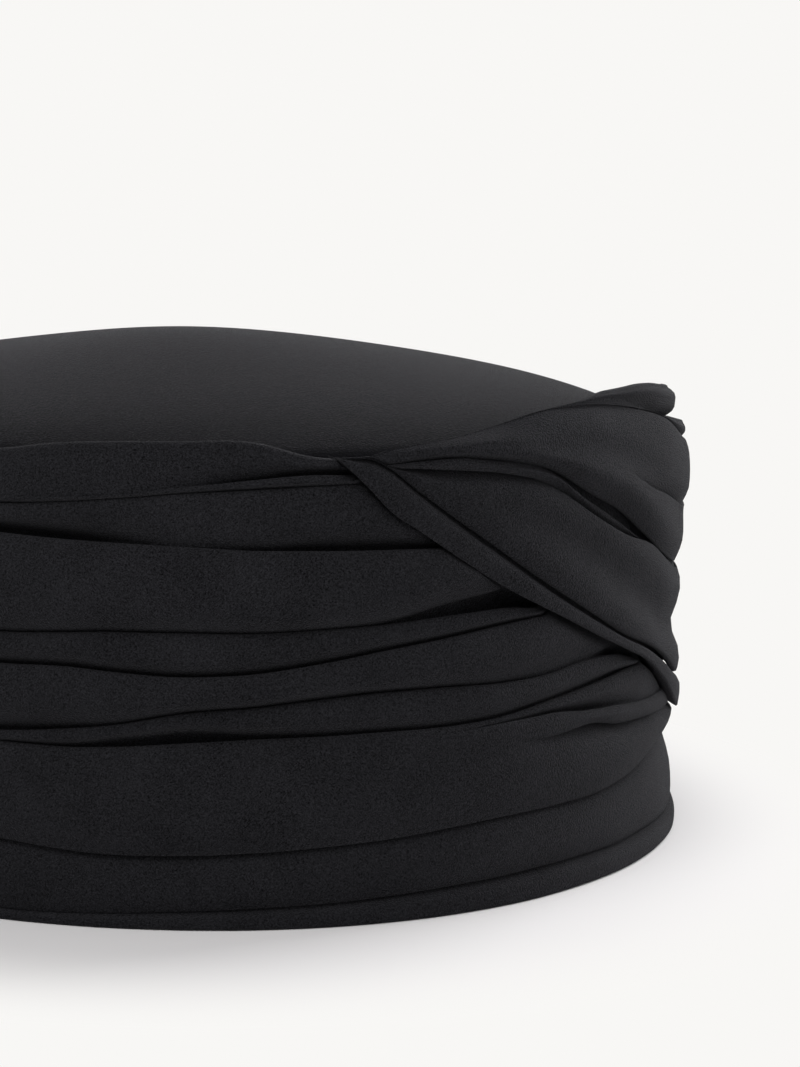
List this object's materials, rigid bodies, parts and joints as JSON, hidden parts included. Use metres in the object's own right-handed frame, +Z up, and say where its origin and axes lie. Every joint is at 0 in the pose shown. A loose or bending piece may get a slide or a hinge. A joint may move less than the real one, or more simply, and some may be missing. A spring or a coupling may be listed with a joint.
{
  "type": "draped toque",
  "caption": "Brimless draped hat: a shallow domed crown with a pleated cloth wrap round its oval side and a crossing swathe that fans out from a tuck at the centre front.",
  "frame": {"origin": "middle of the flat underside, on the surface that the hat rests on", "axes": "+Z up through the crown, -Y to the front of the hat, +X to the side that the crossing swathe goes round"},
  "size_m": [0.1889, 0.2262, 0.093],
  "materials": {
    "crown_crepe": "matte",
    "drape_crepe": "matte"
  },
  "bodies": {
    "root": {"crown": "crown_crepe", "wrap": "drape_crepe", "crossing_swathe": "drape_crepe"}
  },
  "joints": []
}
